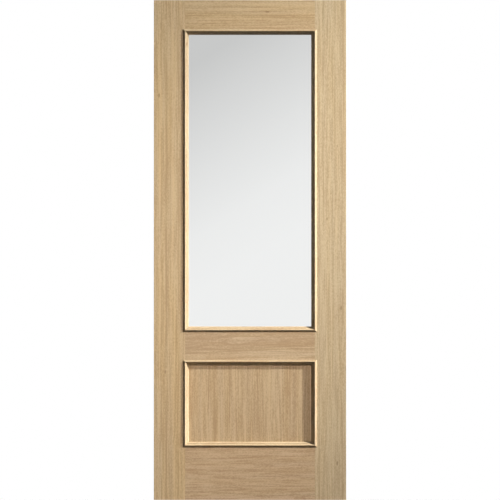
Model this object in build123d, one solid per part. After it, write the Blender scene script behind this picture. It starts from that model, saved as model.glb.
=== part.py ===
from build123d import *
import os

# A glazed interior door leaf in oak: two stiles and three rails with a tall
# pane of glass over a flat wooden panel. Raised mouldings, mitred at the
# corners, lap over the frame on both faces and hold the pane and the panel.
#
# Millimetres. X runs from the hinge edge to the lock edge, Y from the front
# face to the back face, and Z up. The origin is on the hinge edge, at the
# bottom of the leaf and in the middle of its thickness.

# The leaf
DOOR_WIDTH = 762.0
DOOR_HEIGHT = 1981.0
DOOR_THICKNESS = 35.0
ARRIS_RADIUS = 1.0          # the eased long edges of the leaf

# The frame
STILE_WIDTH = 124.0         # with its lipping
LIPPING_WIDTH = 8.0         # solid oak strip on each long edge
TOP_RAIL_HEIGHT = 123.0
MIDDLE_RAIL_HEIGHT = 126.0
BOTTOM_RAIL_HEIGHT = 216.0
PANEL_OPENING_HEIGHT = 331.0
GROOVE_DEPTH = 12.0         # in the stiles, and in the rails round the panel
TONGUE_END_GAP = 1.0        # between a tongue's end and the groove's floor
SLIDING_CLEARANCE = 0.15    # each side of what slides into a groove

# The lower panel
PANEL_THICKNESS = 10.0
PANEL_EDGE_GAP = 2.0        # room for the panel to swell in its groove

# The glazing
GLASS_THICKNESS = 6.0
GLASS_EDGE_GAP = 3.0        # between the glass and the frame, all round
TAPE_THICKNESS = 1.0
TAPE_SET_BACK = 1.2         # from the sight edge of the moulding
BLOCK_LENGTH = 60.0
BLOCK_FROM_CORNER = 90.0    # from the opening's corner to the block's middle

# The raised moulding, in section
MOULDING_LAP = 8.6          # over the face of the frame
MOULDING_REACH = 14.4       # into the opening, to the sight edge
MOULDING_RISE = 6.0         # of the crest above the face of the frame
TOE_HEIGHT = 0.4            # upright outer edge, below the straight outer slope
CREST_OFFSET = 0.3          # of the crest outside the opening's edge
OVOLO_DROP = 8.0            # of the upper curve below the crest
OVOLO_REACH = 6.9           # of the upper curve from the crest
OVOLO_BULGE = 0.3           # swell of the upper curve
QUIRK_WIDTH = 1.2           # small flat step between the two curves
LOWER_DROP = 9.1            # of the lower curve
LOWER_BULGE = 0.6           # swell of the lower curve
SIGHT_EDGE_RADIUS = 0.8

# Worked out
OPENING_WIDTH = DOOR_WIDTH - 2 * STILE_WIDTH
OPENING_LEFT = STILE_WIDTH
OPENING_RIGHT = STILE_WIDTH + OPENING_WIDTH
PANEL_BOTTOM = BOTTOM_RAIL_HEIGHT
PANEL_TOP = PANEL_BOTTOM + PANEL_OPENING_HEIGHT
GLASS_BOTTOM = PANEL_TOP + MIDDLE_RAIL_HEIGHT
GLASS_TOP = DOOR_HEIGHT - TOP_RAIL_HEIGHT
FACE = DOOR_THICKNESS / 2
GROOVE_WIDTH = PANEL_THICKNESS + 2 * SLIDING_CLEARANCE
TONGUE_LENGTH = GROOVE_DEPTH - TONGUE_END_GAP
PANEL_SEAT = PANEL_THICKNESS / 2
GLASS_SEAT = GLASS_THICKNESS / 2 + TAPE_THICKNESS


def block(x_range, y_range, z_range):
    """A rectangular block between three pairs of coordinates."""
    (x0, x1), (y0, y1), (z0, z1) = x_range, y_range, z_range
    middle = ((x0 + x1) / 2, (y0 + y1) / 2, (z0 + z1) / 2)
    return Pos(*middle) * Box(x1 - x0, y1 - y0, z1 - z0)


def mirrored_across_the_leaf(shape):
    """The same piece on the lock side."""
    return mirror(shape, about=Plane.YZ.offset(DOOR_WIDTH / 2))


def stile():
    """The hinge stile's core, grooved down its inner edge from end to end."""
    core = block((LIPPING_WIDTH, STILE_WIDTH), (-FACE, FACE), (0, DOOR_HEIGHT))
    groove = block(
        (STILE_WIDTH - GROOVE_DEPTH, STILE_WIDTH),
        (-GROOVE_WIDTH / 2, GROOVE_WIDTH / 2),
        (0, DOOR_HEIGHT),
    )
    return core - groove


def lipping():
    """The solid strip glued to the hinge stile's outer edge, with eased arrises."""
    strip = block((0, LIPPING_WIDTH), (-FACE, FACE), (0, DOOR_HEIGHT))
    outer_arrises = strip.edges().filter_by(Axis.Z).group_by(Axis.X)[0]
    return fillet(outer_arrises, ARRIS_RADIUS)


def rail(bottom, height, grooved_below=False, grooved_above=False):
    """A rail between the stiles, with a tongue at each end. An edge that holds the panel is grooved."""
    top = bottom + height
    body = block((OPENING_LEFT, OPENING_RIGHT), (-FACE, FACE), (bottom, top))
    tongues = block(
        (OPENING_LEFT - TONGUE_LENGTH, OPENING_RIGHT + TONGUE_LENGTH),
        (-PANEL_THICKNESS / 2, PANEL_THICKNESS / 2),
        (bottom, top),
    )
    shape = body + tongues
    groove_x = (OPENING_LEFT - GROOVE_DEPTH, OPENING_RIGHT + GROOVE_DEPTH)
    groove_y = (-GROOVE_WIDTH / 2, GROOVE_WIDTH / 2)
    if grooved_below:
        shape -= block(groove_x, groove_y, (bottom, bottom + GROOVE_DEPTH))
    if grooved_above:
        shape -= block(groove_x, groove_y, (top - GROOVE_DEPTH, top))
    return shape


def lower_panel():
    """The flat panel, with its four edges in the grooves of the frame."""
    tuck = GROOVE_DEPTH - PANEL_EDGE_GAP
    return block(
        (OPENING_LEFT - tuck, OPENING_RIGHT + tuck),
        (-PANEL_THICKNESS / 2, PANEL_THICKNESS / 2),
        (PANEL_BOTTOM - tuck, PANEL_TOP + tuck),
    )


def glass_pane():
    """The flat sheet of glass, clear of the frame all round."""
    return block(
        (OPENING_LEFT + GLASS_EDGE_GAP, OPENING_RIGHT - GLASS_EDGE_GAP),
        (-GLASS_THICKNESS / 2, GLASS_THICKNESS / 2),
        (GLASS_BOTTOM + GLASS_EDGE_GAP, GLASS_TOP - GLASS_EDGE_GAP),
    )


def glazing_tape():
    """The ring of tape between the glass and the front mouldings."""
    y_range = (-GLASS_SEAT, -GLASS_THICKNESS / 2)
    sight = MOULDING_REACH - TAPE_SET_BACK
    outside = block(
        (OPENING_LEFT + GLASS_EDGE_GAP, OPENING_RIGHT - GLASS_EDGE_GAP),
        y_range,
        (GLASS_BOTTOM + GLASS_EDGE_GAP, GLASS_TOP - GLASS_EDGE_GAP),
    )
    inside = block(
        (OPENING_LEFT + sight, OPENING_RIGHT - sight),
        y_range,
        (GLASS_BOTTOM + sight, GLASS_TOP - sight),
    )
    return outside - inside


def setting_block():
    """The block under the glass near its hinge-side corner, which carries its weight."""
    middle = OPENING_LEFT + BLOCK_FROM_CORNER
    return block(
        (middle - BLOCK_LENGTH / 2, middle + BLOCK_LENGTH / 2),
        (-GLASS_THICKNESS / 2, GLASS_THICKNESS / 2),
        (GLASS_BOTTOM, GLASS_BOTTOM + GLASS_EDGE_GAP),
    )


def moulding_section(seat):
    """The moulding's section as a face. Local X runs from the opening's edge into the
    opening, and local Y outward from the middle of the leaf. seat is how far the
    moulding's back stands from the middle of the leaf."""
    toe = (-MOULDING_LAP, FACE)
    toe_top = (-MOULDING_LAP, FACE + TOE_HEIGHT)
    crest = (-CREST_OFFSET, FACE + MOULDING_RISE)
    ovolo_end = (crest[0] + OVOLO_REACH, crest[1] - OVOLO_DROP)
    quirk_end = (ovolo_end[0] + QUIRK_WIDTH, ovolo_end[1])
    sight_top = (MOULDING_REACH, quirk_end[1] - LOWER_DROP)
    outline = Wire([
        Line(toe, toe_top),
        Line(toe_top, crest),
        SagittaArc(crest, ovolo_end, OVOLO_BULGE),
        Line(ovolo_end, quirk_end),
        SagittaArc(quirk_end, sight_top, LOWER_BULGE),
        Line(sight_top, (MOULDING_REACH, seat)),
        Line((MOULDING_REACH, seat), (0, seat)),
        Line((0, seat), (0, FACE)),
        Line((0, FACE), toe),
    ])
    face = Face(outline)
    sight_corner = face.vertices().sort_by_distance((*sight_top, 0))[0]
    return fillet(sight_corner, SIGHT_EDGE_RADIUS)


def moulding(edge_length, seat):
    """One length of moulding for an opening's edge of this length, mitred at both ends.
    Local X runs along the edge, local Y into the opening and local Z outward."""
    half = edge_length / 2
    long_half = half + MOULDING_LAP
    section_plane = Plane(origin=(-long_half, 0, 0), x_dir=(0, 1, 0), z_dir=(1, 0, 0))
    section = section_plane * moulding_section(seat)
    bar = extrude(section, amount=2 * long_half, dir=(1, 0, 0))
    short_half = half - MOULDING_REACH
    mitres = Polyline(
        (-long_half, -MOULDING_LAP),
        (long_half, -MOULDING_LAP),
        (short_half, MOULDING_REACH),
        (-short_half, MOULDING_REACH),
        close=True,
    )
    between_mitres = extrude(make_face(mitres), amount=FACE + MOULDING_RISE, dir=(0, 0, 1))
    return bar & between_mitres


def mouldings_round(name, bottom, top, seat):
    """The eight mouldings of an opening, four on each face, by node name."""
    centre_x = (OPENING_LEFT + OPENING_RIGHT) / 2
    centre_z = (bottom + top) / 2
    edges = {
        "left": ((OPENING_LEFT, 0, centre_z), (1, 0, 0), top - bottom),
        "right": ((OPENING_RIGHT, 0, centre_z), (-1, 0, 0), top - bottom),
        "bottom": ((centre_x, 0, bottom), (0, 0, 1), OPENING_WIDTH),
        "top": ((centre_x, 0, top), (0, 0, -1), OPENING_WIDTH),
    }
    faces = {"front": Vector(0, -1, 0), "back": Vector(0, 1, 0)}
    pieces = {}
    for face_name, outward in faces.items():
        for edge_name, (middle, inward, length) in edges.items():
            along = Vector(*inward).cross(outward)
            seat_plane = Plane(origin=middle, x_dir=along, z_dir=outward)
            pieces[f"{name}_moulding_{face_name}_{edge_name}"] = (
                seat_plane.location * moulding(length, seat)
            )
    return pieces


def door_pieces():
    """Every piece of the leaf, by node name."""
    left_stile = stile()
    left_lipping = lipping()
    front_tape = glazing_tape()
    left_block = setting_block()
    pieces = {
        "left_stile": left_stile,
        "right_stile": mirrored_across_the_leaf(left_stile),
        "left_lipping": left_lipping,
        "right_lipping": mirrored_across_the_leaf(left_lipping),
        "top_rail": rail(GLASS_TOP, TOP_RAIL_HEIGHT),
        "middle_rail": rail(PANEL_TOP, MIDDLE_RAIL_HEIGHT, grooved_below=True),
        "bottom_rail": rail(0, BOTTOM_RAIL_HEIGHT, grooved_above=True),
        "lower_panel": lower_panel(),
        "glass_pane": glass_pane(),
        "glazing_tape_front": front_tape,
        "glazing_tape_back": mirror(front_tape, about=Plane.XZ),
        "setting_block_left": left_block,
        "setting_block_right": mirrored_across_the_leaf(left_block),
    }
    pieces |= mouldings_round("glass", GLASS_BOTTOM, GLASS_TOP, GLASS_SEAT)
    pieces |= mouldings_round("panel", PANEL_BOTTOM, PANEL_TOP, PANEL_SEAT)
    return pieces


os.makedirs("parts", exist_ok=True)
for node, shape in door_pieces().items():
    export_step(shape, f"parts/{node}.step")
    print(f"{node}: {shape.volume / 1000:.1f} cm3")
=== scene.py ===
# %% [markdown]
# A glazed oak door leaf, in looks
#
# The leaf is already modelled as solids: two stiles, three rails, a flat panel, a pane of
# glass and the mouldings round both. This notebook gives it the looks of the real thing.
# It makes a small studio, then the oak, then the mouldings, and the glass last.

# %% Load the solids
import math
import random

import bmesh
import bpy
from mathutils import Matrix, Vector


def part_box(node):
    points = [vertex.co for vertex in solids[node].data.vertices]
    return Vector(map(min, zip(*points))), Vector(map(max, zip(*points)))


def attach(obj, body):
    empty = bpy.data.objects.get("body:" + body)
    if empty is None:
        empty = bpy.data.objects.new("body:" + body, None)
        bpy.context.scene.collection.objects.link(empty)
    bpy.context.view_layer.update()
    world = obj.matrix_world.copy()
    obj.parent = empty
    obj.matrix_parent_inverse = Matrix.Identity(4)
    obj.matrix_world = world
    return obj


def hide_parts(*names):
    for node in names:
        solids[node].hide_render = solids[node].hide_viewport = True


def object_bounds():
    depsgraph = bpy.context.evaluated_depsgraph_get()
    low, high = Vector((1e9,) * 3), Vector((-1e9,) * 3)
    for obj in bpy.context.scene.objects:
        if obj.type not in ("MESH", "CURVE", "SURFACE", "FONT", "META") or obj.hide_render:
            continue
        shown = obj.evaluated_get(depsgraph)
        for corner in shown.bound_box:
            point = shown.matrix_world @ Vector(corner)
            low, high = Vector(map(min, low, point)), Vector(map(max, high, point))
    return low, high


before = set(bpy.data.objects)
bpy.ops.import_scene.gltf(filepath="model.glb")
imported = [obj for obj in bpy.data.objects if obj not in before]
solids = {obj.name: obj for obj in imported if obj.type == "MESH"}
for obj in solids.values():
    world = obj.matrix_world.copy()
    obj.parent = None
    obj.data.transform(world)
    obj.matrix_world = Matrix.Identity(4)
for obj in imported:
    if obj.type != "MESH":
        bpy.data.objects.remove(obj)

cad_low, cad_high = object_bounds()
leaf_middle = (cad_low + cad_high) / 2
leaf_height = cad_high.z - cad_low.z
leaf_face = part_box("left_stile")[1].y
print(f"{len(solids)} solids, {cad_high.x - cad_low.x:.3f} m wide and {leaf_height:.3f} m tall")
print(f"each face lies {leaf_face:.4f} m from the middle of the thickness")

# %% [markdown]
# The camera
#
# The picture shows the leaf square-on, with no vanishing lines, as a catalogue does. An
# orthographic camera would give that, but a very long lens from far away gives it too and
# still behaves like a real camera when it is moved round the leaf. It stands just above
# the floor, so that the floor behind the leaf is seen edge-on and takes up no picture.

# %% Camera
PICTURE_SIDE = 500
LEAF_IN_PICTURE = 499.8
CAMERA_DISTANCE = 60.0
CAMERA_HEIGHT = 0.03

camera_data = bpy.data.cameras.new("studio_camera")
seen_height = leaf_height * PICTURE_SIDE / LEAF_IN_PICTURE
camera_data.lens = camera_data.sensor_width * CAMERA_DISTANCE / seen_height
camera_data.clip_end = 2 * CAMERA_DISTANCE
camera = bpy.data.objects.new("studio_camera", camera_data)
camera.location = (leaf_middle.x, leaf_middle.y - CAMERA_DISTANCE, CAMERA_HEIGHT)
to_leaf = leaf_middle - camera.location
camera.rotation_euler = to_leaf.to_track_quat("-Z", "Y").to_euler()
bpy.context.scene.collection.objects.link(camera)
bpy.context.scene.camera = camera
bpy.context.scene.view_settings.view_transform = "Standard"
print(f"lens {camera_data.lens:.0f} mm, seen height {seen_height:.3f} m")

# %% [markdown]
# The lamps
#
# Low light from the upper right draws the mouldings: their right and upper slopes are
# bright, their left and lower ones dark, and the panel gets a shadow along two sides. One
# small lamp gives that. A second one, higher and more from the front, casts no shadow at
# all, so the first one's shadow is only half dark and has a single edge. It comes from
# the same side, so that the dark slopes stay dark. A third lamp draws the mouldings on
# the back. The lamps are far away, so that the light comes from the same side everywhere,
# and a grid in front of each keeps it in a pool round the leaf, brightest in the middle.
# The brightness of a lamp is given as what a white card shows in the middle of its pool,
# so that the lamps can be balanced by eye. The raking light is a trace cooler than the
# second one, as the oak looks a little pinker lower down, where the second pool lies.

# %% Lamps
def studio_lamp(name, direction, distance, aim_height, side, pool_radius, card_level,
                colour=(1.0, 1.0, 1.0)):
    """A square lamp in this direction from the leaf, with a grid that makes a pool of light."""
    aim = Vector((leaf_middle.x, 0, aim_height))
    lamp_data = bpy.data.lights.new(name, "AREA")
    lamp_data.shape = "SQUARE"
    lamp_data.color = colour
    lamp_data.size = side
    half_spread = math.atan(pool_radius / distance)
    lamp_data.spread = 2 * half_spread
    brightened = math.tan(half_spread) / (math.tan(half_spread) - half_spread)
    lamp_data.energy = card_level * math.pi**2 * distance**2 / brightened
    lamp = bpy.data.objects.new(name, lamp_data)
    lamp.location = aim + Vector(direction).normalized() * distance
    lamp.rotation_euler = (aim - lamp.location).to_track_quat("-Z", "Y").to_euler()
    bpy.context.scene.collection.objects.link(lamp)
    print(f"{name}: at {[round(v, 2) for v in lamp.location]}, {lamp_data.energy:.1f} W")
    return lamp


RAKING_DIRECTION = (0.840, -0.320, 0.440)
HIGH_DIRECTION = (0.645, -0.520, 0.560)
BACK_DIRECTION = (-0.62, 0.50, 0.60)
studio_lamp(
    "raking_lamp", RAKING_DIRECTION, distance=12.0, aim_height=1.4, side=0.6,
    pool_radius=2.8, card_level=1.89, colour=(0.965, 1.01, 1.01),
)
high_lamp = studio_lamp(
    "high_lamp", HIGH_DIRECTION, distance=20.0, aim_height=0.8, side=1.2,
    pool_radius=1.8, card_level=1.07, colour=(1.03, 0.975, 0.98),
)
high_lamp.data.use_shadow = False
back_lamp = studio_lamp(
    "back_lamp", BACK_DIRECTION, distance=8.0, aim_height=1.0, side=1.0,
    pool_radius=3.0, card_level=1.75,
)

# %% [markdown]
# The room
#
# A white background is the world itself, seen at strength 1. The same world at that
# strength would also flood the leaf with light from every side and wash out the
# mouldings. The Light Path node tells the two uses apart: the camera, reflections and
# glass see white, and the leaf gets only a little light. A ray that has already left the
# wood counts as light for the leaf, also when it goes on through the glass.

# %% Small helpers for node trees
def place_node(tree, kind, settings=None, **inputs):
    """A node of this kind, with its settings, and each named input set or linked."""
    node = tree.nodes.new(kind)
    for name, value in (settings or {}).items():
        setattr(node, name, value)
    for name, value in inputs.items():
        give(tree, node.inputs[name.replace("_", " ")], value)
    return node


def give(tree, socket, value):
    """Links a socket to an output, or sets it to a value."""
    if isinstance(value, bpy.types.NodeSocket):
        tree.links.new(value, socket)
    else:
        socket.default_value = value


def number_maths(tree, operation, *values):
    """The output of one Math node."""
    node = tree.nodes.new("ShaderNodeMath")
    node.operation = operation
    for socket, value in zip(node.inputs, values):
        give(tree, socket, value)
    return node.outputs[0]


def new_material(name):
    """A new material with its node tree, which holds a Principled shader and the output."""
    material = bpy.data.materials.new(name)
    material.use_nodes = True
    return material, material.node_tree


# %% World
AMBIENT_LEVEL = 0.08
FIRST_BOUNCE = 1


def seen_directly(tree):
    """1 for rays of the camera, reflections and glass, and 0 for light that falls on the leaf."""
    path = tree.nodes.new("ShaderNodeLightPath").outputs
    seen = number_maths(tree, "MAXIMUM", path["Is Camera Ray"], path["Is Glossy Ray"])
    seen = number_maths(tree, "MAXIMUM", seen, path["Is Transmission Ray"])
    before_any_wood = number_maths(tree, "LESS_THAN", path["Diffuse Depth"], FIRST_BOUNCE)
    return number_maths(tree, "MULTIPLY", seen, before_any_wood)


world = bpy.data.worlds.new("studio_world")
bpy.context.scene.world = world
world.use_nodes = True
world_tree = world.node_tree
world_background = world_tree.nodes["Background"]
world_background.inputs["Color"].default_value = (1, 1, 1, 1)
world_mix = place_node(
    world_tree, "ShaderNodeMapRange",
    Value=seen_directly(world_tree), To_Min=AMBIENT_LEVEL, To_Max=1.0,
)
world_tree.links.new(world_mix.outputs["Result"], world_background.inputs["Strength"])
print(f"ambient level {AMBIENT_LEVEL}")

# %% [markdown]
# The graded sweep
#
# Clear glass in front of a plain white world would vanish. Studios hang a large sheet of
# paper that lies in shade at the top and in more light lower down, and the pane shows that
# shading. Here the sheet is a ring round the leaf, so that a pane shows it from every side.
# It glows by itself instead of being lit, and its shade is painted in: grey at the top and
# to the left, nearly white lower down and to the right. The camera doesn't see it directly
# and it stops no light.

# %% Graded sweep
SWEEP_RADIUS = 5.0
SWEEP_BOTTOM, SWEEP_TOP = -1.0, 5.0
SWEEP_SIDES = 96
SHADE_TO_THE_RIGHT = 0.65
# Painted shade on the sweep: its greys, from the darkest at the top left to the palest.
PAINTED_SHADE_GREYS = ((0.0, 0.585), (0.2, 0.665), (0.5, 0.768), (0.75, 0.843), (1.0, 0.872))


def ring_wall(name, radius, bottom, top, sides):
    """An open cylinder round the leaf."""
    mesh = bpy.data.meshes.new(name)
    shape = bmesh.new()
    turns = [2 * math.pi * i / sides for i in range(sides)]
    rows = []
    for height in (bottom, top):
        rows.append([
            shape.verts.new((
                leaf_middle.x + radius * math.cos(turn), radius * math.sin(turn), height
            ))
            for turn in turns
        ])
    for i in range(sides):
        j = (i + 1) % sides
        shape.faces.new((rows[0][i], rows[0][j], rows[1][j], rows[1][i]))
    shape.to_mesh(mesh)
    shape.free()
    wall = bpy.data.objects.new(name, mesh)
    bpy.context.scene.collection.objects.link(wall)
    return wall


def sweep_material():
    """Glowing paper with painted shade, from grey to nearly white, downwards and to the right.
    Its painted greys are listed by the distance in metres below the glass's upper left corner."""
    material, tree = new_material("paper_with_painted_shade")
    tree.nodes.remove(tree.nodes["Principled BSDF"])
    place = tree.nodes.new("ShaderNodeTexCoord").outputs["Object"]
    axes = place_node(tree, "ShaderNodeSeparateXYZ", Vector=place).outputs
    glass_low, glass_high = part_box("glass_pane")
    below_top = number_maths(tree, "SUBTRACT", glass_high.z, axes["Z"])
    from_left = number_maths(tree, "SUBTRACT", axes["X"], glass_low.x)
    along = number_maths(tree, "MULTIPLY_ADD", from_left, SHADE_TO_THE_RIGHT, below_top)
    ramp = place_node(tree, "ShaderNodeValToRGB", Fac=along)
    stops = ramp.color_ramp.elements
    while len(stops) < len(PAINTED_SHADE_GREYS):
        stops.new(0.5)
    for stop, (position, grey) in zip(stops, PAINTED_SHADE_GREYS):
        stop.position = position
        stop.color = (grey, grey, grey, 1)
    # The paper glows with its painted shade, so no lamp lights it.
    glow = place_node(
        tree, "ShaderNodeEmission", Color=ramp.outputs["Color"], Strength=seen_directly(tree)
    )
    tree.links.new(glow.outputs[0], tree.nodes["Material Output"].inputs["Surface"])
    return material


sweep = ring_wall("graded_sweep", SWEEP_RADIUS, SWEEP_BOTTOM, SWEEP_TOP, SWEEP_SIDES)
sweep.data.materials.append(sweep_material())
sweep.visible_camera = False
sweep.visible_diffuse = False
sweep.visible_shadow = False
print(f"sweep of radius {SWEEP_RADIUS} m")

# %% [markdown]
# The floor
#
# The leaf stands on a pale floor that keeps its shadow. A floor that ended at an edge would
# draw a line across the background, so this one is a disc whose colour fades into the
# white of the background towards its rim.

# %% Floor
FLOOR_RADIUS, FLOOR_SIDES = 2.0, 96
FADE_FROM, FADE_TO = 0.45, 1.5
PALE_FLOOR = (0.80, 0.80, 0.79, 1)


def floor_material():
    """Pale matt floor that turns into the white of the background."""
    material, tree = new_material("pale_floor")
    matt = tree.nodes["Principled BSDF"]
    matt.inputs["Base Color"].default_value = PALE_FLOOR
    matt.inputs["Roughness"].default_value = 0.9
    place = tree.nodes.new("ShaderNodeTexCoord").outputs["Object"]
    outward = place_node(tree, "ShaderNodeVectorMath", {"operation": "LENGTH"}, Vector=place)
    fade = place_node(
        tree, "ShaderNodeMapRange", {"interpolation_type": "SMOOTHSTEP"},
        Value=outward.outputs["Value"], From_Min=FADE_FROM, From_Max=FADE_TO,
    )
    white = place_node(tree, "ShaderNodeEmission", Strength=seen_directly(tree))
    mix = place_node(tree, "ShaderNodeMixShader", Fac=fade.outputs["Result"])
    tree.links.new(matt.outputs[0], mix.inputs[1])
    tree.links.new(white.outputs[0], mix.inputs[2])
    tree.links.new(mix.outputs[0], tree.nodes["Material Output"].inputs["Surface"])
    return material


floor_mesh = bpy.data.meshes.new("floor")
floor_shape = bmesh.new()
bmesh.ops.create_circle(floor_shape, cap_ends=True, segments=FLOOR_SIDES, radius=FLOOR_RADIUS)
floor_shape.to_mesh(floor_mesh)
floor_shape.free()
floor = bpy.data.objects.new("floor", floor_mesh)
floor.location = (leaf_middle.x, 0, cad_low.z)
floor_mesh.materials.append(floor_material())
bpy.context.scene.collection.objects.link(floor)
floor.visible_diffuse = False
print(f"floor of radius {FLOOR_RADIUS} m at {cad_low.z:.3f} m")

# %% [markdown]
# Where a board lies in its log
#
# Oak has its grain along one direction, and every piece of the door is its own board. All
# pieces share one set of coordinates here, so a first node group turns them into the
# board's own: along the grain, across the face and through the thickness, from the
# board's middle. Arrows are easier to read than angles, so the group takes the direction
# of the grain and the direction across the face as arrows and projects on both.

# %% Node group: board_place
def new_group(name, inputs, outputs):
    """An empty shader node group with these sockets, and its input and output nodes."""
    tree = bpy.data.node_groups.new(name, "ShaderNodeTree")
    kinds = {"number": "NodeSocketFloat", "arrow": "NodeSocketVector", "colour": "NodeSocketColor"}
    for socket_name, kind, default in inputs:
        socket = tree.interface.new_socket(socket_name, in_out="INPUT", socket_type=kinds[kind])
        socket.default_value = default
    for socket_name, kind in outputs:
        tree.interface.new_socket(socket_name, in_out="OUTPUT", socket_type=kinds[kind])
    return tree, tree.nodes.new("NodeGroupInput").outputs, tree.nodes.new("NodeGroupOutput").inputs


def arrow_maths(tree, operation, *values):
    """One Vector Math node."""
    node = tree.nodes.new("ShaderNodeVectorMath")
    node.operation = operation
    for socket, value in zip(node.inputs, values):
        give(tree, socket, value)
    return node.outputs


def make_board_place():
    """The group that turns a place on the leaf into a place in the board."""
    tree, given, made = new_group(
        "board_place",
        [
            ("Place", "arrow", (0, 0, 0)),
            ("Middle", "arrow", (0, 0, 0)),
            ("Grain", "arrow", (0, 0, 1)),
            ("Across", "arrow", (1, 0, 0)),
        ],
        [("Board", "arrow")],
    )
    local = arrow_maths(tree, "SUBTRACT", given["Place"], given["Middle"])["Vector"]
    through = arrow_maths(tree, "CROSS_PRODUCT", given["Grain"], given["Across"])["Vector"]
    along_across_through = [
        arrow_maths(tree, "DOT_PRODUCT", local, arrow)["Value"]
        for arrow in (given["Grain"], given["Across"], through)
    ]
    board = tree.nodes.new("ShaderNodeCombineXYZ")
    for socket, value in zip(board.inputs, along_across_through):
        tree.links.new(value, socket)
    tree.links.new(board.outputs[0], made["Board"])
    return tree


board_place = make_board_place()
print("made", board_place.name)

# %% [markdown]
# Growth rings
#
# The lines on a board are its tree's yearly rings, cut by the saw. So they aren't drawn on
# the face: the group measures how far each point is from the heart of the log, bends that
# distance a little, and counts rings in it. A board cut near the heart then shows arches, one
# cut further out shows straight lines, and the ends show arcs, all by themselves. Each ring
# starts dark and porous in spring and ends pale and dense. Good and bad years come in
# runs, which gives the broader stripes that are seen from a few steps away, and a few lean
# years lie close together as a thin dark line. The group also hands on the bent board, so
# that the fibres follow the same bends.

# %% Node group: oak_rings
SPRING_ENDS, SPRING_STARTS = 0.55, 0.9
YEARS_GAINED = 2.5
RUNS_PER_METRE = 50.0
LEAN_RUNS_PER_METRE = 130.0
LEAN_FROM, LEAN_TO = 0.62, 0.74
RUN_FROM, RUN_TO = 0.28, 0.72


def stretched_noise(tree, board, number, along, across, detail=2.0, roughness=0.5):
    """Noise in streaks: so many per metre along the grain, and so many per metre across it."""
    stretch = place_node(tree, "ShaderNodeCombineXYZ", X=along, Y=across, Z=across).outputs[0]
    lengthened = arrow_maths(tree, "MULTIPLY", board, stretch)["Vector"]
    noise = place_node(
        tree, "ShaderNodeTexNoise", {"noise_dimensions": "4D"},
        Vector=lengthened, W=number, Scale=1.0, Detail=detail, Roughness=roughness,
    )
    return noise.outputs["Fac"]


def ramp_between(tree, value, low, high, to_low=0.0, to_high=1.0):
    """A smooth change from one value to another."""
    node = place_node(
        tree, "ShaderNodeMapRange", {"interpolation_type": "SMOOTHSTEP"},
        Value=value, From_Min=low, From_Max=high, To_Min=to_low, To_Max=to_high,
    )
    return node.outputs["Result"]


def make_oak_rings():
    """The group that finds the yearly rings at a place in the board."""
    tree, given, made = new_group(
        "oak_rings",
        [
            ("Board", "arrow", (0, 0, 0)),
            ("Number", "number", 0.0),
            ("Heart Across", "number", 0.2),
            ("Heart Depth", "number", 0.1),
            ("Ring Width", "number", 0.003),
            ("Wander", "number", 0.01),
        ],
        [
            ("Bent Board", "arrow"),
            ("Spring", "number"),
            ("Run of Years", "number"),
            ("Lean Years", "number"),
        ],
    )
    board, number = given["Board"], given["Number"]
    bend = stretched_noise(tree, board, number, along=2.2, across=6.0, detail=3.0)
    bend = number_maths(tree, "SUBTRACT", bend, 0.5)
    sway = number_maths(tree, "MULTIPLY", bend, given["Wander"])
    sideways = place_node(tree, "ShaderNodeCombineXYZ", Y=sway, Z=sway).outputs[0]
    bent = arrow_maths(tree, "ADD", board, sideways)["Vector"]
    axes = place_node(tree, "ShaderNodeSeparateXYZ", Vector=bent).outputs
    across = number_maths(tree, "SUBTRACT", axes["Y"], given["Heart Across"])
    depth = number_maths(tree, "SUBTRACT", axes["Z"], given["Heart Depth"])
    depth_squared = number_maths(tree, "MULTIPLY", depth, depth)
    squared = number_maths(tree, "MULTIPLY_ADD", across, across, depth_squared)
    from_heart = number_maths(tree, "SQRT", squared)
    runs = place_node(
        tree, "ShaderNodeTexNoise", {"noise_dimensions": "1D"},
        W=number_maths(tree, "ADD", from_heart, number),
        Scale=RUNS_PER_METRE, Detail=3.0, Roughness=0.8,
    ).outputs["Fac"]
    years = number_maths(tree, "DIVIDE", from_heart, given["Ring Width"])
    years = number_maths(tree, "MULTIPLY_ADD", runs, YEARS_GAINED, years)
    in_year = number_maths(tree, "FRACT", years)
    fading = ramp_between(tree, in_year, 0.0, SPRING_ENDS, 1.0, 0.0)
    starting = ramp_between(tree, in_year, SPRING_STARTS, 1.0)
    lean = place_node(
        tree, "ShaderNodeTexNoise", {"noise_dimensions": "1D"},
        W=number_maths(tree, "SUBTRACT", from_heart, number),
        Scale=LEAN_RUNS_PER_METRE, Detail=1.0, Roughness=0.5,
    ).outputs["Fac"]
    tree.links.new(bent, made["Bent Board"])
    tree.links.new(ramp_between(tree, lean, LEAN_FROM, LEAN_TO), made["Lean Years"])
    tree.links.new(number_maths(tree, "MAXIMUM", fading, starting), made["Spring"])
    tree.links.new(ramp_between(tree, runs, RUN_FROM, RUN_TO), made["Run of Years"])
    return tree


oak_rings = make_oak_rings()
print("made", oak_rings.name)

# %% [markdown]
# Fibres and pores
#
# Between the rings, oak is a bundle of long fibres. Streaks of slightly other tones run
# through it, long ones and short ones. Its pores are the short dark dashes that show
# close up, most of them in the spring wood, and where many lie together they show as a
# dark fleck from further away. All of these are one noise, stretched by different
# amounts, so one group makes them together. Here and there a twig has left a pin knot,
# a small dark dot. Voronoi cells give those: one dot in the middle of each large cell.

# %% Node group: oak_fibres
STREAKS_ACROSS = 190.0
NOISE_RANGES = {"Blush": (0.35, 0.65), "Streaks": (0.30, 0.70), "Flecks": (0.25, 0.75)}
PORE_FROM, PORE_TO = 0.60, 0.72
PORES_ALL_YEAR, MORE_IN_SPRING = 0.2, 0.8
PIN_KNOT_CELLS = (6.0, 15.0, 15.0)
PIN_KNOT_CORE, PIN_KNOT_RIM = 0.03, 0.07


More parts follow.
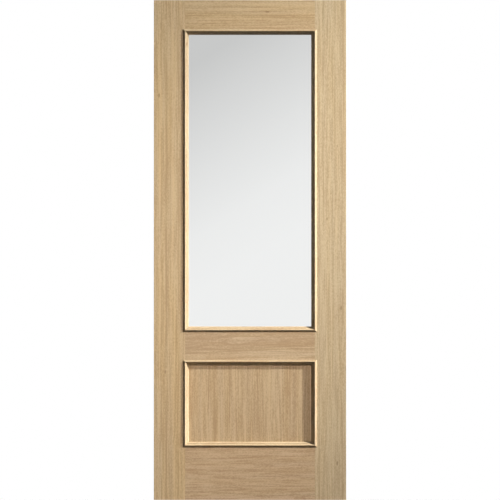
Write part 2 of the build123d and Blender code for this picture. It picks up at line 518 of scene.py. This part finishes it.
def make_oak_fibres():
    """The group that makes what lies between the rings, at a place in the board."""
    tree, given, made = new_group(
        "oak_fibres",
        [
            ("Board", "arrow", (0, 0, 0)),
            ("Number", "number", 0.0),
            ("Spring", "number", 0.5),
            ("Streaks per Metre", "number", 5.0),
        ],
        [
            ("Blush", "number"),
            ("Streaks", "number"),
            ("Flecks", "number"),
            ("Fibres", "number"),
            ("Pores", "number"),
            ("Pin Knots", "number"),
        ],
    )
    board, number = given["Board"], given["Number"]
    blush = stretched_noise(tree, board, number, along=1.6, across=32.0, detail=2.0)
    streaks = stretched_noise(
        tree, board, number, given["Streaks per Metre"], STREAKS_ACROSS, detail=3.0, roughness=0.6,
    )
    flecks = stretched_noise(tree, board, number, along=130.0, across=330.0, detail=1.0)
    fibres = stretched_noise(tree, board, number, along=30.0, across=1100.0, detail=2.0)
    dashes = stretched_noise(tree, board, number, along=95.0, across=2800.0, detail=0.0)
    open_dashes = ramp_between(tree, dashes, PORE_FROM, PORE_TO)
    crowding = number_maths(tree, "MULTIPLY_ADD", given["Spring"], MORE_IN_SPRING, PORES_ALL_YEAR)
    cells = arrow_maths(tree, "MULTIPLY", board, PIN_KNOT_CELLS)["Vector"]
    cells = arrow_maths(tree, "ADD", cells, number)["Vector"]
    from_knot = place_node(tree, "ShaderNodeTexVoronoi", Vector=cells, Scale=1.0).outputs["Distance"]
    pin_knots = ramp_between(tree, from_knot, PIN_KNOT_CORE, PIN_KNOT_RIM, 1.0, 0.0)
    for name, noise in (("Blush", blush), ("Streaks", streaks), ("Flecks", flecks)):
        tree.links.new(ramp_between(tree, noise, *NOISE_RANGES[name]), made[name])
    tree.links.new(pin_knots, made["Pin Knots"])
    tree.links.new(fibres, made["Fibres"])
    tree.links.new(number_maths(tree, "MULTIPLY", open_dashes, crowding), made["Pores"])
    return tree


oak_fibres = make_oak_fibres()
print("made", oak_fibres.name)

# %% [markdown]
# Oak's colours
#
# Sealed oak is a pale golden tan, pinker in places. This group adds stripes, streaks and
# flecks up to one depth of tone, and that picks a colour between the board's palest and its
# deepest. The pores and the pin knots are darkened after that. The group also gives the
# roughness and the height of the surface, because an open pore is matt and sunk.

# %% Node group: oak_finish
YELLOWER, PINKER = (1.02, 1.0, 0.94, 1), (0.98, 1.0, 1.06, 1)
DEPTH_WEIGHTS = {"Streaks": 1.0, "Flecks": 0.8, "Fibres": 0.5, "Spring": 0.30}
LEAN_WEIGHT = 0.6
PORE_SHADE, PORE_STRENGTH = (0.45, 0.40, 0.36, 1), 0.5
PIN_KNOT_SHADE, PIN_KNOT_STRENGTH = (0.55, 0.44, 0.36, 1), 0.7
SEALED_ROUGHNESS, STREAK_ROUGHNESS, PORE_ROUGHNESS = 0.44, 0.10, 0.25
FIBRE_HEIGHT, SPRING_HEIGHT, PORE_HEIGHT = 0.35, -0.25, -0.7


def mix_colours(tree, amount, first, second, blend_type="MIX"):
    """The output of one colour Mix node."""
    node = tree.nodes.new("ShaderNodeMix")
    node.data_type = "RGBA"
    node.blend_type = blend_type
    for socket_number, value in ((0, amount), (6, first), (7, second)):
        give(tree, node.inputs[socket_number], value)
    return node.outputs[2]


def weighted_sum(tree, start, parts):
    """The start plus each value, less its middle of 0.5, times its weight."""
    total = start
    for value, weight in parts:
        off_middle = number_maths(tree, "SUBTRACT", value, 0.5)
        total = number_maths(tree, "MULTIPLY_ADD", off_middle, weight, total)
    return total


def make_oak_finish():
    """The group that turns rings and fibres into a colour, a roughness and a height."""
    tree, given, made = new_group(
        "oak_finish",
        [
            ("Spring", "number", 0.5),
            ("Run of Years", "number", 0.5),
            ("Lean Years", "number", 0.0),
            ("Blush", "number", 0.5),
            ("Streaks", "number", 0.5),
            ("Flecks", "number", 0.5),
            ("Fibres", "number", 0.5),
            ("Pores", "number", 0.0),
            ("Pin Knots", "number", 0.0),
            ("Figure", "number", 1.0),
            ("Pinkness", "number", 1.0),
            ("Pale", "colour", (0.6, 0.42, 0.25, 1)),
            ("Deep", "colour", (0.4, 0.28, 0.17, 1)),
        ],
        [("Colour", "colour"), ("Roughness", "number"), ("Height", "number")],
    )
    stripes = number_maths(tree, "SUBTRACT", given["Run of Years"], 0.5)
    depth = number_maths(tree, "MULTIPLY_ADD", stripes, given["Figure"], 0.5)
    parts = [(given[name], weight) for name, weight in DEPTH_WEIGHTS.items()]
    depth = weighted_sum(tree, depth, parts)
    lean = number_maths(tree, "MULTIPLY", given["Lean Years"], given["Streaks"])
    depth = number_maths(tree, "MULTIPLY_ADD", lean, LEAN_WEIGHT, depth)
    ground = mix_colours(tree, depth, given["Pale"], given["Deep"])
    blush = number_maths(tree, "SUBTRACT", given["Blush"], 0.5)
    blush = number_maths(tree, "MULTIPLY_ADD", blush, given["Pinkness"], 0.5)
    blush = mix_colours(tree, blush, YELLOWER, PINKER)
    rosy = mix_colours(tree, 1.0, ground, blush, "MULTIPLY")
    open_pore = number_maths(tree, "MULTIPLY", given["Pores"], PORE_STRENGTH)
    pored = mix_colours(tree, open_pore, rosy, PORE_SHADE, "MULTIPLY")
    knot = number_maths(tree, "MULTIPLY", given["Pin Knots"], PIN_KNOT_STRENGTH)
    knotted = mix_colours(tree, knot, pored, PIN_KNOT_SHADE, "MULTIPLY")
    roughness = SEALED_ROUGHNESS
    for name, amount in (("Streaks", STREAK_ROUGHNESS), ("Pores", PORE_ROUGHNESS)):
        roughness = number_maths(tree, "MULTIPLY_ADD", given[name], amount, roughness)
    height = 0.0
    for name, amount in (
        ("Fibres", FIBRE_HEIGHT), ("Spring", SPRING_HEIGHT), ("Pores", PORE_HEIGHT)
    ):
        height = number_maths(tree, "MULTIPLY_ADD", given[name], amount, height)
    tree.links.new(knotted, made["Colour"])
    tree.links.new(roughness, made["Roughness"])
    tree.links.new(height, made["Height"])
    return tree


oak_finish = make_oak_finish()
print("made", oak_finish.name)

# %% [markdown]
# Raw oak under the veneer, and painted shade on the edges
#
# The faces are veneered, and the leaf's narrow edges show the solid oak below, which has no
# finish. Both lie on the same solids. A group tells them apart by depth: whatever is further
# in than the thickness of the veneer is darkened. That darker tone is partly the raw oak's
# own and partly painted shade, which holds down the edges where the low lamps light them
# brightly.

# %% Node group: under_veneer
VENEER = 0.0006
# The darker edge tone: partly raw oak's own colour, partly painted shade for the brightly lit edges.
RAW_OAK_AND_PAINTED_SHADE = (0.62, 0.57, 0.50, 1)


def make_under_veneer():
    """A group that marks what lies deeper in the leaf than the veneer on its faces."""
    tree, given, made = new_group(
        "under_veneer",
        [("Place", "arrow", (0, 0, 0))],
        [("Below Veneer", "number")],
    )
    apart = place_node(tree, "ShaderNodeSeparateXYZ", Vector=given["Place"]).outputs
    from_middle = number_maths(tree, "ABSOLUTE", apart["Y"])
    below_veneer = number_maths(tree, "LESS_THAN", from_middle, leaf_face - VENEER)
    tree.links.new(below_veneer, made["Below Veneer"])
    return tree


under_veneer = make_under_veneer()
print("made", under_veneer.name)

# %% [markdown]
# One material for each board
#
# The groups hold everything that oak has in common. A board's own material only places
# them, says where the board lies in its log and which tones it has, and ends in its own
# Principled shader. The height drives a Bump node, because pores are too small to model.
# Tones are written as a screen shows them, from 0 to 255, and turned into shader colours.

# %% Oak material
TONE_STEP = (12, 15, 14)
RELIEF = 0.0002
RELIEF_STRENGTH = 0.6


def group_node(tree, group, **inputs):
    """A node that places a group, with each named input set or linked."""
    node = tree.nodes.new("ShaderNodeGroup")
    node.node_tree = group
    for name, value in inputs.items():
        give(tree, node.inputs[name.replace("_", " ")], value)
    return node.outputs


def oak_material(name, middle, grain, across, number, tones, heart, wander=0.012, figure=0.7,
                 pinkness=0.35, streaks=5.0, veneered=False):
    """Oak for one board. tones are its palest and its deepest colour, and heart is where the
    log's heart lies from the board's middle, across the face and through the thickness."""
    material, tree = new_material(name)
    place = tree.nodes.new("ShaderNodeTexCoord").outputs["Object"]
    board = group_node(
        tree, board_place, Place=place, Middle=middle, Grain=grain, Across=across
    )["Board"]
    rings = group_node(
        tree, oak_rings, Board=board, Number=number, Heart_Across=heart[0], Heart_Depth=heart[1],
        Wander=wander,
    )
    fibres = group_node(
        tree, oak_fibres, Board=rings["Bent Board"], Number=number, Spring=rings["Spring"],
        Streaks_per_Metre=streaks,
    )
    finish = group_node(
        tree, oak_finish, Spring=rings["Spring"], Run_of_Years=rings["Run of Years"],
        Lean_Years=rings["Lean Years"],
        Blush=fibres["Blush"], Streaks=fibres["Streaks"], Flecks=fibres["Flecks"],
        Fibres=fibres["Fibres"], Pores=fibres["Pores"], Pin_Knots=fibres["Pin Knots"],
        Figure=figure, Pinkness=pinkness, Pale=tones[0], Deep=tones[1],
    )
    bump = place_node(
        tree, "ShaderNodeBump", Height=finish["Height"], Distance=RELIEF, Strength=RELIEF_STRENGTH
    )
    colour = finish["Colour"]
    if veneered:
        # Edges below the veneer are darkened: raw oak's own tone together with painted shade.
        below_veneer = group_node(tree, under_veneer, Place=place)["Below Veneer"]
        colour = mix_colours(tree, below_veneer, colour, RAW_OAK_AND_PAINTED_SHADE, "MULTIPLY")
    surface = tree.nodes["Principled BSDF"]
    tree.links.new(colour, surface.inputs["Base Color"])
    tree.links.new(finish["Roughness"], surface.inputs["Roughness"])
    tree.links.new(bump.outputs["Normal"], surface.inputs["Normal"])
    surface.inputs["Specular IOR Level"].default_value = 0.2
    return material


def tone(red, green, blue):
    """A colour as the eye reads it on a screen, from 0 to 255, in the units of the shader."""
    return (*(((part / 255 + 0.055) / 1.055) ** 2.4 for part in (red, green, blue)), 1)


def tones_about(*middle):
    """The palest and the deepest tone of a board with this middle tone."""
    pale = tone(*(part + step for part, step in zip(middle, TONE_STEP)))
    deep = tone(*(part - step for part, step in zip(middle, TONE_STEP)))
    return pale, deep


print("oak_material is ready")

# %% [markdown]
# Stiles and rails
#
# The stiles stand the full height of the leaf with upright grain, and the rails lie between
# them. On the real leaf the veneer runs on over the strip that is glued to each long edge,
# so a strip shares its stile's material and no seam shows on the face. The solids have
# the right shape already, and keep it. A very small bevel on the rails gives the hairline
# where they meet the stiles. It is a modifier, so the solid itself isn't touched.

# %% Frame boards
UP = (0, 0, 1)
SIDEWAYS = (1, 0, 0)
HAIRLINE = 0.0003
JOINED_WITHIN = 0.00001
SHARP_ANGLE = math.radians(40)


def middle_of(*names):
    """The middle of the box round these solids."""
    corners = [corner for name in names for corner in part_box(name)]
    lowest = Vector(min(corner[axis] for corner in corners) for axis in range(3))
    highest = Vector(max(corner[axis] for corner in corners) for axis in range(3))
    return (lowest + highest) / 2


def dress(solid_name, material):
    """Gives a solid its material, in place of the plain one that it came with."""
    for slot in solids[solid_name].material_slots:
        slot.material = material


def ease_edges(solid_name, width):
    """A small bevel on a solid's sharp edges, once its doubled corners are joined."""
    join = solids[solid_name].modifiers.new("join_corners", "WELD")
    join.merge_threshold = JOINED_WITHIN
    bevel = solids[solid_name].modifiers.new("eased_edges", "BEVEL")
    bevel.width = width
    bevel.segments = 2
    bevel.limit_method = "ANGLE"
    bevel.angle_limit = SHARP_ANGLE


def leaning(degrees):
    """The direction of grain that lies sideways and rises by this much to the right."""
    return (math.cos(math.radians(degrees)), 0, math.sin(math.radians(degrees)))


left_oak = oak_material(
    "oak_left_stile", middle_of("left_stile", "left_lipping"), UP, SIDEWAYS, number=11.0,
    tones=tones_about(207, 176, 133), heart=(-0.16, 0.10), figure=0.4, pinkness=0.7,
    veneered=True,
)
right_oak = oak_material(
    "oak_right_stile", middle_of("right_stile", "right_lipping"), UP, SIDEWAYS, number=23.0,
    tones=tones_about(207, 181, 142), heart=(0.20, 0.12), figure=0.3, streaks=6.0,
    veneered=True,
)
top_oak = oak_material(
    "oak_top_rail", middle_of("top_rail"), leaning(5.5), UP, number=37.0,
    tones=tones_about(204, 173, 131), heart=(-0.10, 0.16), wander=0.010, figure=0.5, streaks=3.5,
    veneered=True,
)
middle_oak = oak_material(
    "oak_middle_rail", middle_of("middle_rail"), leaning(-1.0), UP, number=41.0,
    tones=tones_about(205, 175, 137), heart=(0.02, 0.14), wander=0.03, figure=0.9,
    veneered=True,
)
bottom_oak = oak_material(
    "oak_bottom_rail", middle_of("bottom_rail"), leaning(0.5), UP, number=53.0,
    tones=tones_about(203, 170, 132), heart=(-0.10, 0.13), wander=0.02, figure=0.35, streaks=10.0,
    veneered=True,
)
for solid_name, material in {
    "left_stile": left_oak,
    "left_lipping": left_oak,
    "right_stile": right_oak,
    "right_lipping": right_oak,
    "top_rail": top_oak,
    "middle_rail": middle_oak,
    "bottom_rail": bottom_oak,
}.items():
    dress(solid_name, material)
for rail in ("top_rail", "middle_rail", "bottom_rail"):
    ease_edges(rail, HAIRLINE)
print("dressed the frame")

# %% [markdown]
# The panel
#
# The flat panel has upright grain, like the stiles, and stronger stripes than theirs,
# because it is one wide sheet of veneer.

# %% Panel
panel_oak = oak_material(
    "oak_panel", middle_of("lower_panel"), UP, SIDEWAYS, number=67.0,
    tones=tones_about(203, 172, 132), heart=(0.09, 0.17), figure=0.7,
)
dress("lower_panel", panel_oak)
print("dressed the panel")

# %% [markdown]
# The mouldings
#
# A moulding is one section run along an edge and cut at 45 degrees at both ends. The solids
# have that shape, but their curves are made of few flats. So each moulding is made again
# here from the same sizes, with fine curves, softened corners and a hair of space at the
# mitre. The section is a list of points. From outside in there are a low upright toe, a
# straight slope up to the crest, a low arc down to a small flat step, and a second low arc
# down to the sight edge, close to the glass or the panel. Each point is drawn out to the
# mitre, which lies further in the further the point is into the opening. The openings are
# found from the pane, which ends a little short of the frame, and from the panel, whose
# edges lie in grooves. The section's sizes are in millimetres.

# %% The moulding's section
MM = 0.001
LEAF_FACE = leaf_face / MM
LAP, REACH, RISE = 8.6, 14.4, 6.0
TOE_HEIGHT, TOE_ROUND = 0.4, 0.2
CREST_OFFSET = 0.3
OVOLO_DROP, OVOLO_REACH, OVOLO_BULGE = 8.0, 6.9, 0.3
QUIRK_WIDTH = 1.2
LOWER_DROP, LOWER_BULGE, SIGHT_ROUND = 9.1, 0.6, 0.8
GLASS_SEAT, PANEL_SEAT = 4.0, 5.0
ARC_STEPS = 12


def low_arc(start, end, bulge):
    """Points on a low arc that swells to the left of the line from start to end."""
    start, end = Vector(start), Vector(end)
    chord = end - start
    left = Vector((-chord.y, chord.x)).normalized()
    return [
        start + chord * share + left * bulge * 4 * share * (1 - share)
        for share in (i / ARC_STEPS for i in range(ARC_STEPS + 1))
    ]


def moulding_section(seat):
    """Points of the section in millimetres: into the opening, and outward from the leaf's
    middle. The last three lie on the back, which stands on the glass tape or the panel."""
    crest = Vector((-CREST_OFFSET, LEAF_FACE + RISE))
    quirk_level = crest.y - OVOLO_DROP
    ovolo_end = (crest.x + OVOLO_REACH, quirk_level)
    quirk_end = (ovolo_end[0] + QUIRK_WIDTH, quirk_level)
    sight_top = (REACH, quirk_level - LOWER_DROP)
    points = [Vector((-LAP, LEAF_FACE)), Vector((-LAP, LEAF_FACE + TOE_HEIGHT)), crest]
    points += low_arc(crest, ovolo_end, OVOLO_BULGE)[1:]
    points += low_arc(quirk_end, sight_top, LOWER_BULGE)
    points += [Vector((REACH, seat)), Vector((0, seat)), Vector((0, LEAF_FACE))]
    return points


print(f"the section has {len(moulding_section(PANEL_SEAT))} points")

# %% Round the section's corners
CORNER_STEPS = 4
MOST_OF_A_SIDE = 0.9
TOE_INDEX = 1
SIGHT_INDEX = -4


def rounded(points, index, radius):
    """The points with one corner cut off by a small curve."""
    corner = points[index]
    before = points[index - 1] - corner
    after = points[index + 1] - corner
    start = corner + before.normalized() * min(radius, before.length * MOST_OF_A_SIDE)
    end = corner + after.normalized() * min(radius, after.length * MOST_OF_A_SIDE)
    curve = []
    for i in range(CORNER_STEPS + 1):
        share = i / CORNER_STEPS
        curve.append(start * (1 - share) ** 2 + corner * 2 * share * (1 - share) + end * share**2)
    return points[:index] + curve + points[index + 1:]


def finished_section(seat):
    """The section with its toe and its sight edge softened."""
    points = rounded(moulding_section(seat), SIGHT_INDEX, SIGHT_ROUND)
    return rounded(points, TOE_INDEX, TOE_ROUND)


print(f"with softened corners it has {len(finished_section(PANEL_SEAT))} points")

# %% Mouldings
MITRE_HAIRLINE = 0.08
GLASS_GAP = 3 * MM
PANEL_GROOVE = 10 * MM
SMOOTH_ANGLE = math.radians(28)
MOULDING_TONE = (194, 167, 131)
FACES = {"front": Vector((0, -1, 0)), "back": Vector((0, 1, 0))}


def opening_edges(pane_name, pane_overlap):
    """The middle, the inward arrow and the length of each edge of an opening. The pane or
    panel in it goes this far into the frame."""
    low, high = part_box(pane_name)
    left, right = low.x + pane_overlap, high.x - pane_overlap
    bottom, top = low.z + pane_overlap, high.z - pane_overlap
    centre_x, centre_z = (left + right) / 2, (bottom + top) / 2
    return {
        "left": (Vector((left, 0, centre_z)), Vector((1, 0, 0)), top - bottom),
        "right": (Vector((right, 0, centre_z)), Vector((-1, 0, 0)), top - bottom),
        "bottom": (Vector((centre_x, 0, bottom)), Vector((0, 0, 1)), right - left),
        "top": (Vector((centre_x, 0, top)), Vector((0, 0, -1)), right - left),
    }


def moulding(name, middle, inward, outward, length, seat):
    """One mitred length of moulding, in the place of the solid with the same name."""
    along = inward.cross(outward)
    shape = bmesh.new()
    ends = []
    for side in (-1, 1):
        ring = []
        for point in finished_section(seat):
            half = length / 2 - (point.x + MITRE_HAIRLINE) * MM
            place = middle + along * side * half + (inward * point.x + outward * point.y) * MM
            ring.append(shape.verts.new(place))
        ends.append(ring)
    count = len(ends[0])
    for i in range(count):
        j = (i + 1) % count
        shape.faces.new((ends[0][i], ends[0][j], ends[1][j], ends[1][i]))
    for ring in ends:
        shape.faces.new(ring)
    bmesh.ops.recalc_face_normals(shape, faces=shape.faces)
    mesh = bpy.data.meshes.new(name)
    shape.to_mesh(mesh)
    shape.free()
    mesh.polygons.foreach_set("use_smooth", [True] * len(mesh.polygons))
    mesh.set_sharp_from_angle(angle=SMOOTH_ANGLE)
    piece = bpy.data.objects.new(name, mesh)
    bpy.context.scene.collection.objects.link(piece)
    return piece


boards = random.Random(7)
runs = []
openings = {
    "glass": (opening_edges("glass_pane", -GLASS_GAP), GLASS_SEAT),
    "panel": (opening_edges("lower_panel", PANEL_GROOVE), PANEL_SEAT),
}
for opening_name, (edges, seat) in openings.items():
    for face_name, outward in FACES.items():
        for edge_name, (middle, inward, length) in edges.items():
            node_name = f"{opening_name}_moulding_{face_name}_{edge_name}"
            piece = moulding(f"{node_name}_run", middle, inward, outward, length, seat)
            grain, across = (UP, SIDEWAYS) if edge_name in ("left", "right") else (SIDEWAYS, UP)
            number = 100 + round(boards.uniform(0, 400), 1)
            heart = (boards.choice((-1, 1)) * boards.uniform(0.1, 0.3), boards.uniform(-0.1, 0.1))
            piece.data.materials.append(oak_material(
                f"oak_{node_name}", middle, grain, across, number,
                tones_about(*MOULDING_TONE), heart, figure=0.2, pinkness=0.1,
            ))
            runs.append(piece)
            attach(piece, "root")
            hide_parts(node_name)
print(f"made {len(runs)} mouldings")

# %% [markdown]
# Light for the mouldings
#
# The photograph's shadows are not all alike. On the panel a moulding's shadow is only half
# dark, because a second light fills it, and in the corners of the mouldings it is nearly
# black. Light linking says which pieces a lamp may light. The high lamp passes over the
# front mouldings, and a lamp of their own, beside the raking one, makes up for it. The
# lamp behind the leaf skips them too, since it would reach them through the clear pane.

# %% Light for the mouldings
MOULDING_LAMP_DIRECTION = (0.78, -0.30, 0.55)


def link_light(lamp, pieces, state):
    """Lets a lamp light only these pieces (INCLUDE), or all but these (EXCLUDE)."""
    receivers = bpy.data.collections.new(f"{lamp.name}_receivers")
    for piece in pieces:
        receivers.objects.link(piece)
    for member in receivers.collection_objects:
        member.light_linking.link_state = state
    lamp.light_linking.receiver_collection = receivers


front_runs = [piece for piece in runs if "_front_" in piece.name]
moulding_lamp = studio_lamp(
    "moulding_lamp", MOULDING_LAMP_DIRECTION, distance=12.0, aim_height=0.3, side=0.6,
    pool_radius=1.8, card_level=1.55,
)
link_light(moulding_lamp, front_runs, "INCLUDE")
link_light(high_lamp, front_runs, "EXCLUDE")
link_light(back_lamp, front_runs, "EXCLUDE")
print(f"{len(front_runs)} front mouldings have their own light")

# %% [markdown]
# The glass
#
# The pane is flat and clear, so nearly all of its looks come from what is behind it. Cycles
# would give it a dark shadow, because light that bends through glass isn't followed to
# the lamps. Real glass lets nearly all light through, so shadow rays get a Transparent
# shader. So do the rays that gather light for the wood, or the pane would mirror the lamps
# onto the mouldings beside it.

# %% Glass
GLASS_TINT = (0.985, 0.995, 0.99, 1)
PASSING_LIGHT_TINT = (0.95, 0.96, 0.955, 1)


def clear_glass():
    """Clear glass that lets the lamps' light through."""
    material, tree = new_material("clear_glass_pane")
    surface = tree.nodes["Principled BSDF"]
    surface.inputs["Base Color"].default_value = GLASS_TINT
    surface.inputs["Roughness"].default_value = 0.0
    surface.inputs["IOR"].default_value = 1.5
    surface.inputs["Transmission Weight"].default_value = 1.0
    clear = place_node(tree, "ShaderNodeBsdfTransparent", Color=PASSING_LIGHT_TINT)
    path = tree.nodes.new("ShaderNodeLightPath").outputs
    gathers_light = number_maths(tree, "MAXIMUM", path["Is Shadow Ray"], path["Is Diffuse Ray"])
    mix = place_node(tree, "ShaderNodeMixShader", Fac=gathers_light)
    tree.links.new(surface.outputs[0], mix.inputs[1])
    tree.links.new(clear.outputs[0], mix.inputs[2])
    tree.links.new(mix.outputs[0], tree.nodes["Material Output"].inputs["Surface"])
    return material


dress("glass_pane", clear_glass())
print("dressed the glass")

# %% [markdown]
# Tape and setting blocks
#
# A soft tape lies between the glass and the mouldings, and two small plastic blocks carry
# the pane. They hardly show, and get plain matt materials with a slight grain.

# %% Tape and blocks
UNEVENNESS = 0.2


def moulded_matt(name, colour, roughness, grain_size):
    """A matt moulded surface with slight grain in its roughness and height."""
    material, tree = new_material(name)
    place = tree.nodes.new("ShaderNodeTexCoord").outputs["Object"]
    grain = place_node(tree, "ShaderNodeTexNoise", Vector=place, Scale=1 / grain_size, Detail=3.0)
    surface = tree.nodes["Principled BSDF"]
    surface.inputs["Base Color"].default_value = colour
    smoothest = roughness - UNEVENNESS / 2
    uneven = number_maths(tree, "MULTIPLY_ADD", grain.outputs["Fac"], UNEVENNESS, smoothest)
    tree.links.new(uneven, surface.inputs["Roughness"])
    bump = place_node(tree, "ShaderNodeBump", Height=grain.outputs["Fac"], Distance=0.0001)
    tree.links.new(bump.outputs["Normal"], surface.inputs["Normal"])
    return material


tape_material = moulded_matt("glazing_tape_matt", tone(128, 124, 118), roughness=0.8, grain_size=0.002)
block_material = moulded_matt("setting_block_matt", tone(60, 60, 62), roughness=0.6, grain_size=0.001)
for solid_name in ("glazing_tape_front", "glazing_tape_back"):
    dress(solid_name, tape_material)
for solid_name in ("setting_block_left", "setting_block_right"):
    dress(solid_name, block_material)
print("dressed tape and blocks")
